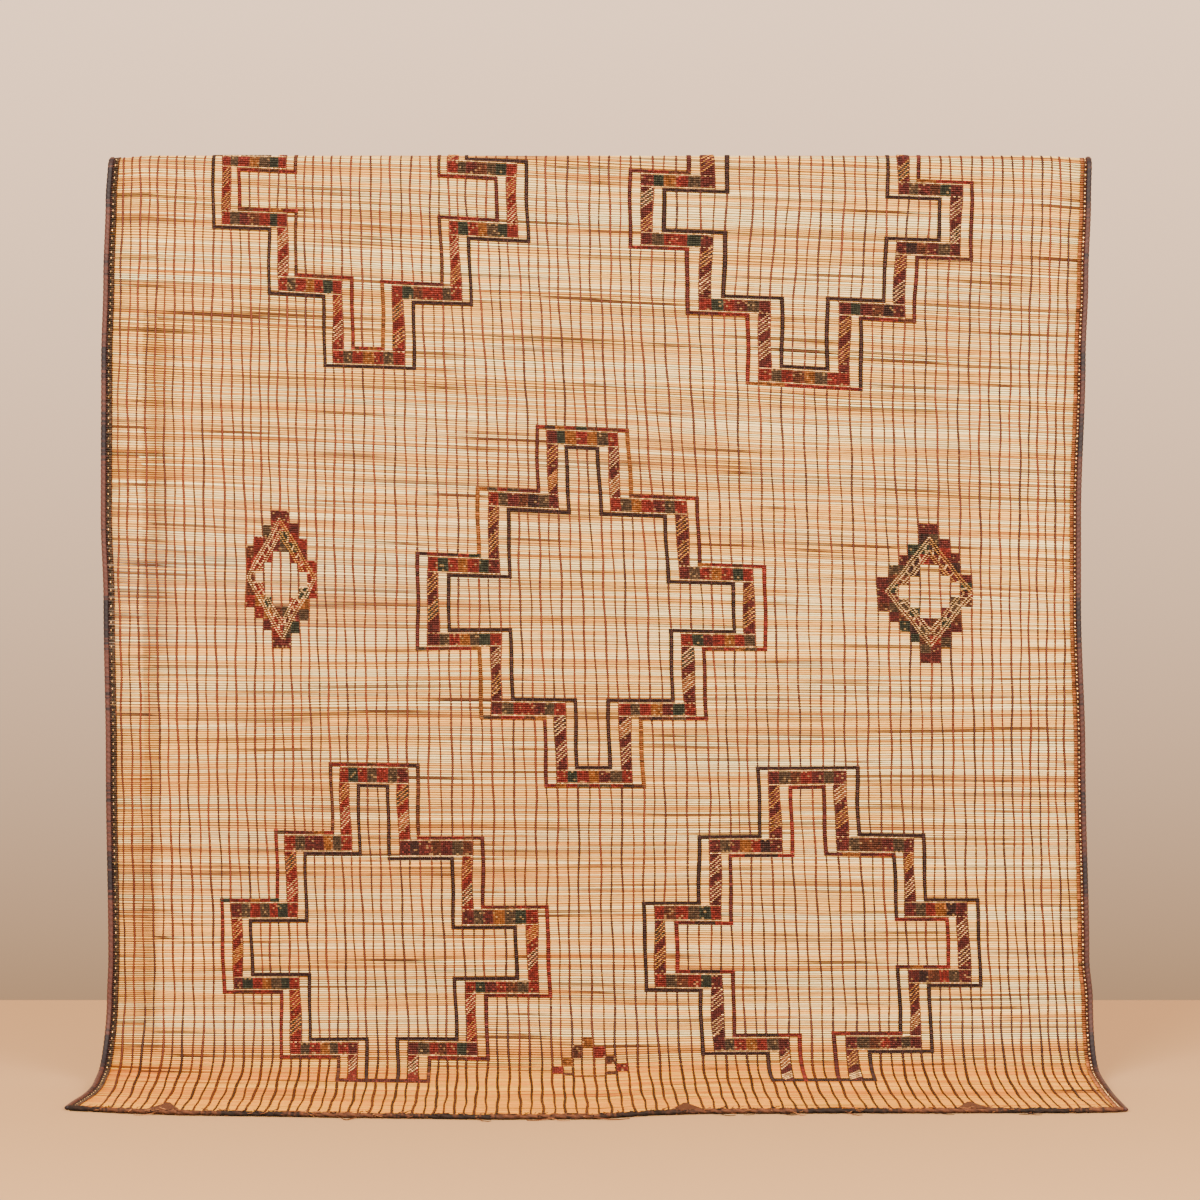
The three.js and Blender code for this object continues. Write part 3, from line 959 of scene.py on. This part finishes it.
def diamond(name, chart, centre, half_strips, half_length, shares):
    """A ring of stepped blocks with a lattice of dots over it; shares are those of its seven dyes."""
    floats = Floats(name)
    for gap, column in chart.items():
        if len(column) == 2:
            spans = [column]
        else:
            spans = [(column[0], column[2]), (column[3], column[1])]
        for low, high in spans:
            cells = max(1, round((high - low) / DIAMOND_CELL))
            for cell in range(cells):
                dye = rng.choice(list(DIAMOND_DYES), p=shares)
                is_first = low == column[0] and cell == 0
                is_last = high == column[1] and cell == cells - 1
                if (is_first or is_last) and abs(gap + 0.5 - centre[0]) < TIP_REACH:
                    dye = "M"
                top = low + (high - low) * cell / cells
                bottom = low + (high - low) * (cell + 1) / cells
                floats.block(gap, gap + 1, top, bottom, dye)
    for size in LATTICE_SIZES:
        wide, tall = half_strips * size, half_length * size
        count = int(np.hypot(wide * STRIP_SPACE, tall) / DOT_PITCH)
        for right in (-1, 1):
            for down in (-1, 1):
                share = (np.arange(count) + 0.5) / count
                strips = centre[0] + right * wide * share
                middles = centre[1] + down * tall * (1 - share)
                keep = [in_diamond(chart, strip, middle) for strip, middle in zip(strips, middles)]
                line = "Y" if right > 0 and down < 0 else "C"
                floats.dots(strips[keep], middles[keep], line)
    for right in (-1, 1):
        for down in (-1, 1):
            for link in LINKS:
                strips = centre[0] + right * half_strips * LINK_REACH * link
                middles = centre[1] + down * half_length * LINK_REACH * (1 - link)
                keep = [in_diamond(chart, strip, middle) for strip, middle in zip(strips, middles)]
                floats.dots(strips[keep], middles[keep], "C")
    return floats.build()


diamond("motif_left", LEFT_DIAMOND, (17.0, 1246), 3.95, 160, LEFT_SHARES)
diamond("motif_right", RIGHT_DIAMOND, (79.0, 1241), 4.3, 170, RIGHT_SHARES)

# A small unfinished stepped pattern low in the middle: each block's gap, its start and end, and its dye
PARTIAL = [
    (46, 2531, 2559, "O"),
    (45, 2553, 2588, "B"),
    (47, 2556, 2587, "R"),
    (44, 2588, 2613, "O"),
    (48, 2581, 2607, "B"),
    (43, 2613, 2643, "R"),
    (49, 2607, 2636, "R"),
    (44, 2639, 2655, "B"),
    (48, 2633, 2651, "B"),
    (45, 2655, 2662, "R"),
    (46, 2655, 2662, "B"),
    (47, 2655, 2662, "B"),
]
partial = Floats("motif_low_middle")
for gap, low, high, dye in PARTIAL:
    partial.block(gap, gap + 1, low, high, dye)
partial.build()

# The edges: a narrow woven band and a wrapped leather roll down each side
ROLL_PURPLE = srgb(84, 50, 46)
ROLL_RED = srgb(72, 44, 42)
ROLL_DARK = srgb(34, 28, 36)
SIDE_SECTION = np.array([(0, 5.5), (0.25, 8), (0.7, 8), (1, 4.5), (1, 0.5), (0.7, -3), (0.25, -3), (0, -3)])
WRAP_PITCH = 15.0
# how high the wraps rise, and the part of a wrap that stays level
WRAP_RISE, WRAP_LEVEL = 0.9, 0.6
RING_STEP = 3.75
BAND_HALF_FLOAT = 3.1
# the outer part of the section swells outwards and its upper part upwards
SECTION_MIDDLE, SECTION_LEVEL = 0.5, 2
# the dark patches down a roll: the lengths of their two waves, and how much they vary
PATCH_WAVE, PATCH_LONG_WAVE, PATCH_VARIES = 57.0, 131.0, 0.12
PATCH_STARTS, PATCH_FULL = 0.55, 0.8


def side_roll(name, node, side, colour):
    """The leather roll down one side, with its wraps, painted shade between them, and dark patches."""
    along = np.arange(START, END + RING_STEP / 2, RING_STEP)
    edge = left_edge(along) if side < 0 else right_edge(along)
    turn = np.arange(len(SIDE_SECTION)) / len(SIDE_SECTION)
    wrap = np.abs(np.sin(math.pi * (along[:, None] / WRAP_PITCH + turn)))
    from_edge = SEAM_GAP + SIDE_BINDING_WIDTH * SIDE_SECTION[:, 0]
    out = SIDE_SECTION[:, 1]
    swell = WRAP_RISE * (wrap - WRAP_LEVEL)
    outwards = np.sign(SIDE_SECTION[:, 0] - SECTION_MIDDLE) * (from_edge > 1)
    across = edge[:, None] + side * (from_edge + swell * outwards)
    points = surface(along[:, None], across, out + swell * np.sign(out - SECTION_LEVEL))
    if side > 0:
        points, wrap = points[:, ::-1], wrap[:, ::-1]
    waves = 0.5 + 0.5 * np.sin(along / PATCH_WAVE) * np.sin(along / PATCH_LONG_WAVE + 1)
    patches = smooth(PATCH_STARTS, PATCH_FULL, waves + PATCH_VARIES * rng.standard_normal(len(along)))
    tint = colour * (1 - patches[:, None]) + ROLL_DARK * patches[:, None]
    # painted shade in the grooves between the wraps, and a little painted highlight on their crests
    tint = tint[:, None, :] * (0.55 + 0.5 * wrap[..., None])
    u = 0.05 + 0.9 * np.arange(len(SIDE_SECTION)) / len(SIDE_SECTION) + 0 * along[:, None]
    v = (along[:, None] - START) / (END - START) + 0 * u
    uv = np.stack([u, in_uv(v)], -1)
    piece = bars_piece(name, points[None], roll_leather, tint[None], uv[None])
    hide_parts(node)
    on_mat(piece)


side_roll("side_roll_left", "side_binding_left", -1, ROLL_PURPLE)
side_roll("side_roll_right", "side_binding_right", 1, ROLL_RED)


def woven_band(name, side, columns):
    """A band of floats along one side edge.

    Each column has where it starts and ends, in millimetres inside the edge, its dye, and at every how many
    reeds it has a cream dot, or 0 for none.
    """
    floats = Floats(name)
    number = np.arange(reed_count)
    for start, end, dye, every in columns:
        middle = (start + end) / 2
        dotted = number % every == 0 if every else np.zeros(reed_count, bool)
        top = np.where(number % 2 == 0, FLOAT_TOP, FLOAT_LOW)
        for chosen, paint in ((~dotted, dye), (dotted, "C")):
            if chosen.any():
                half = (end - start) / 2
                floats.add(middle, half, reed_middle[chosen], BAND_HALF_FLOAT, paint, top[chosen])

    def place(inside, along_middle, out):
        along = reed_along(along_middle, side * HALF_WIDTH)
        edge = left_edge(along) if side < 0 else right_edge(along)
        return surface(along, edge - side * inside, out)

    # on the right side the widths are turned round, so that the faces still look outwards
    if side > 0:
        floats.rows = [row * np.array([1, -1, 1, 1, 1]) for row in floats.rows]
    floats.build(place)


LEFT_BAND = [(0, 6, "D", 0), (6, 8.4, "G", 3), (8.4, 15, "K", 0), (15, 18, "B", 0)]
RIGHT_BAND = [(0, 2, "M", 0), (2, 5.5, "D", 2), (5.5, 9, "B", 0), (9, 18, "T", 0)]
woven_band("woven_band_left", -1, LEFT_BAND)
woven_band("woven_band_right", 1, RIGHT_BAND)

# A twisted thong along each end
THONG_BROWN = srgb(96, 56, 36)
THONG_DARK = srgb(36, 22, 19)
THONG_SIDES = 10
THONG_STEP = 5.0
TWIST_LENGTH = 34.0
THONG_RADIUS = 7.2
THONG_WIDER = 1.15
THONG_CLEARANCE = 0.4
# how far each lobe stands out from the thong's core
CORE_SHARE, LOBE_SHARE = 0.74, 0.3
# its unevenness: how high and over what length, and how much more at random
THONG_WAVES = [(0.6, 23.0, 0), (0.5, 9.7, 1)]
THONG_VARIES = 0.6
# how far it strays from a straight line, and over what length
DRIFT_SHIFT, DRIFT_WAVE = 1.4, 61.0
FLOOR_CLEARANCE = 0.2
# where it is dark: the length of the waves, how much they vary, and where dark starts and is full
THONG_DARK_WAVE, THONG_DARK_VARIES, THONG_DARK_STARTS, THONG_DARK_FULL = 83.0, 0.4, -0.3, 0.6
# the painted shade in the hollows between lobes, the painted highlight on the lobes over that, and the
# painted shadow along the underside
HOLLOW_SHADE, LOBE_SHADE, UNDER_SHADE, UNDER_SOFT = 0.45, 0.65, 0.3, 0.7


def thong(name, node, outward, edge_along):
    """The twisted thong along one end of the mat."""
    past = SEAM_GAP + END_BINDING_WIDTH / 2
    along = edge_along + outward * past
    end_row = np.array([edge_along])
    across = np.arange(left_edge(end_row)[0], right_edge(end_row)[0], THONG_STEP)
    angle = 2 * math.pi * np.arange(THONG_SIDES) / THONG_SIDES
    twist = math.pi * across[:, None] / TWIST_LENGTH
    lobe = np.abs(np.cos(angle - twist))
    rough = sum(height * np.sin(across / wave + turn) for height, wave, turn in THONG_WAVES)
    rough = rough[:, None] + THONG_VARIES * rng.standard_normal((len(across), THONG_SIDES))
    radius = THONG_RADIUS * (CORE_SHARE + LOBE_SHARE * lobe) + rough
    drift = DRIFT_SHIFT * np.sin(across / DRIFT_WAVE)[:, None]
    level = THONG_RADIUS - HALF_THICKNESS + THONG_CLEARANCE
    out = np.maximum(level + radius * np.sin(angle), FLOOR_CLEARANCE - HALF_THICKNESS)
    place = along + drift - radius * np.cos(angle) * THONG_WIDER
    points = surface(place, across[:, None] + 0 * angle, out)
    dark = np.sin(across / THONG_DARK_WAVE) + THONG_DARK_VARIES * rng.standard_normal(len(across))
    share = smooth(THONG_DARK_STARTS, THONG_DARK_FULL, dark)[:, None, None]
    tint = THONG_BROWN * (1 - share) + THONG_DARK * share
    # painted shade in the hollows, painted highlight on the lobes and painted shadow along the underside
    tint = tint * (HOLLOW_SHADE + LOBE_SHADE * lobe[..., None])
    upper = smooth(-UNDER_SOFT, UNDER_SOFT, np.sin(angle))
    tint = tint * (UNDER_SHADE + (1 - UNDER_SHADE) * upper)[:, None]
    u = (across[:, None] - across[0]) / (across[-1] - across[0]) + 0 * angle
    v = (np.arange(THONG_SIDES) + 0.5) / THONG_SIDES + 0 * u
    uv = np.stack([in_uv(u), v], -1)
    piece = bars_piece(name, points[None], thong_leather, tint[None], uv[None])
    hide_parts(node)
    on_mat(piece)


thong("end_thong_front", "end_binding_front", 1, END)
thong("end_thong_back", "end_binding_back", -1, START)

# Frayed fibres of the thong on the floor: a few long ones, and many short ones that stand off it
FRAY_STEPS = 5
FRAY_SIDES = 3
# each long one's place across the mat and its length to the right
LONG_FRAYS = [
    (-140, 60), (-120, -75), (-20, 95), (298, 60), (430, -52), (470, 50), (508, 36), (650, 42),
    (1120, 50), (1180, -70), (-1180, -60), (-700, 45), (-640, -38), (880, 60), (-330, 44),
]
SHORT_FRAYS = 600
SHORT_FRAYS_FROM, SHORT_FRAYS_TO, SHORT_FRAY_LENGTH = -1390, 1395, 26
# how far a long one reaches over the floor, where it leaves the thong, and how high it starts and ends
FRAY_REACH, FRAY_TURN = 38.0, 0.7
FRAY_ROOT = 5
FRAY_RISE, FRAY_LOW = 5, 1.6
FRAY_TAN = srgb(150, 100, 62)


def fray_path(share, is_long):
    """How far past the mat's end, and how high over the floor, a fibre lies from its root to its tip."""
    if is_long:
        reach = rng.uniform(0.5, 1.0) * FRAY_REACH * np.sin(math.pi * share * FRAY_TURN)
        past = SEAM_GAP + END_BINDING_WIDTH - FRAY_ROOT + reach
        return past, FRAY_LOW + FRAY_RISE * (1 - share) ** 2
    past = SEAM_GAP + rng.uniform(3, END_BINDING_WIDTH - 3) + rng.uniform(-8, 10) * share
    return past, rng.uniform(4, 16) + rng.uniform(-8, 7) * share


def frays():
    """The frayed fibres, each a thin bar of three sides."""
    share = np.arange(FRAY_STEPS) / (FRAY_STEPS - 1)
    angle = 2 * math.pi * (np.arange(FRAY_SIDES) + 0.5) / FRAY_SIDES
    fibres = [(start, length, True) for start, length in LONG_FRAYS]
    for number in range(SHORT_FRAYS):
        start = rng.uniform(SHORT_FRAYS_FROM, SHORT_FRAYS_TO)
        fibres.append((start, rng.uniform(-SHORT_FRAY_LENGTH, SHORT_FRAY_LENGTH), False))
    rings = []
    tints = []
    for start, length, is_long in fibres:
        across = start + length * share + 2 * np.sin(rng.uniform(1.5, 3.2) * share * math.pi)
        past, height = fray_path(share, is_long)
        radius = rng.uniform(1.1, 2.3) * (1 - 0.5 * share)
        turn = 1 if length > 0 else -1
        height = np.maximum(height, radius + 0.3)
        out = height[:, None] - HALF_THICKNESS + radius[:, None] * np.sin(angle)
        along = END + past[:, None] - turn * radius[:, None] * np.cos(angle)
        rings.append(surface(along, across[:, None] + 0 * angle, out))
        colour = (THONG_DARK, THONG_BROWN, FRAY_TAN)[rng.integers(3)]
        tints.append(np.broadcast_to(colour * rng.uniform(0.7, 1.3), (FRAY_STEPS, FRAY_SIDES, 3)))
    points = np.stack(rings)
    count = len(points)
    u = (np.arange(count)[:, None, None] + (np.arange(FRAY_SIDES) + 0.5) / FRAY_SIDES) / count
    v = share[None, :, None] + 0 * u
    uv = np.stack(np.broadcast_arrays(u, v), -1)
    on_mat(bars_piece("frayed_ends", points, thong_leather, np.stack(tints), uv))


frays()

# The three patches keep their solids' shape
PATCH_BROWN = srgb(72, 38, 32)
patch_leather, patch_shader = node_material("patch_leather", 0.6)
patch_shader.inputs["Base Color"].default_value = (*PATCH_BROWN, 1)
patch_shader.inputs["Specular IOR Level"].default_value = 0.3
for node in ("patch_left", "patch_middle", "patch_right"):
    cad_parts[node].data.materials.clear()
    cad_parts[node].data.materials.append(patch_leather)

# Camera at the photograph's viewing angle
PHOTO_WIDTH = 1200
FOCAL_PIXELS = 3200
PIXELS_PER_METRE = 350
CAMERA_ACROSS = 0.0143
CAMERA_HEIGHT = -1.268
SENSOR = 36.0
camera_data = bpy.data.cameras.new("camera")
camera_data.sensor_width = SENSOR
camera_data.lens = FOCAL_PIXELS / PHOTO_WIDTH * SENSOR
camera_data.clip_end = 100
camera = bpy.data.objects.new("camera", camera_data)
bpy.context.scene.collection.objects.link(camera)
face_y = -(FOLD_RADIUS + HALF_THICKNESS) * METRES
camera.location = (CAMERA_ACROSS, face_y - FOCAL_PIXELS / PIXELS_PER_METRE, CAMERA_HEIGHT)
camera.rotation_euler = (math.pi / 2, 0, 0)
bpy.context.scene.camera = camera

# Soft studio light and a plain pale floor
MAT_CENTRE = (0, 0, -1.3)
KEY_POWER = 950
KEY_COLOUR = (1.0, 0.92, 0.78)
FILL_POWER = 590
FILL_COLOUR = (1.0, 0.92, 0.79)
ROOM_LOW = np.array([0.5, 0.285, 0.145])
ROOM_HIGH = np.array([1.95, 1.3, 0.86])
# the room's colour changes between these heights of the direction looked in
ROOM_LOW_END, ROOM_HIGH_END = -0.14, 0.18
FLOOR_COLOUR = srgb(181, 146, 104)


def area_light(name, place, aim, size, power, colour):
    data = bpy.data.lights.new(name, "AREA")
    data.size = size
    data.energy = power
    data.color = colour
    light = bpy.data.objects.new(name, data)
    light.location = place
    toward = np.array(aim) - np.array(place)
    flat = math.hypot(toward[0], toward[1])
    tilt = math.pi / 2 + math.atan2(toward[2], flat)
    turn = math.atan2(toward[1], toward[0]) - math.pi / 2
    light.rotation_euler = (tilt, 0, turn)
    bpy.context.scene.collection.objects.link(light)


area_light("key", (-2.4, -6.4, 2.2), MAT_CENTRE, 3.2, KEY_POWER, KEY_COLOUR)
area_light("fill", (4.0, -5.6, 0.6), MAT_CENTRE, 3.6, FILL_POWER, FILL_COLOUR)

# The room: paler above than below
world = bpy.data.worlds.new("room")
bpy.context.scene.world = world
world.use_nodes = True
room_nodes, room_links = world.node_tree.nodes, world.node_tree.links
background = room_nodes["Background"]
background.inputs["Strength"].default_value = 1.0
direction = room_nodes.new("ShaderNodeTexCoord")
split = room_nodes.new("ShaderNodeSeparateXYZ")
room_links.new(direction.outputs["Generated"], split.inputs["Vector"])
ramp = room_nodes.new("ShaderNodeValToRGB")
shift = room_nodes.new("ShaderNodeMapRange")
shift.inputs["From Min"].default_value = ROOM_LOW_END
shift.inputs["From Max"].default_value = ROOM_HIGH_END
room_links.new(split.outputs["Z"], shift.inputs["Value"])
room_links.new(shift.outputs["Result"], ramp.inputs["Fac"])
room_links.new(ramp.outputs["Color"], background.inputs["Color"])
ramp.color_ramp.elements[0].color = (*ROOM_LOW, 1)
ramp.color_ramp.elements[1].color = (*ROOM_HIGH, 1)

floor_material, floor_shader = node_material("floor", 0.85)
floor_shader.inputs["Base Color"].default_value = (*FLOOR_COLOUR, 1)
FLOOR_SPAN = 12000.0
FLOOR_BACK = 1750.0
floor_corners = [(-1, -FLOOR_SPAN), (1, -FLOOR_SPAN), (1, FLOOR_BACK), (-1, FLOOR_BACK)]
floor_points = [(side * FLOOR_SPAN, y, -FLOOR_BELOW_FOLD) for side, y in floor_corners]
floor = mesh_piece("floor", floor_points, [0, 1, 2, 3], [4], floor_material)

for piece, length in reeds:
    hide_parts("mat")
    if piece is reeds[-1][0]:
        length += BOW_MEAN
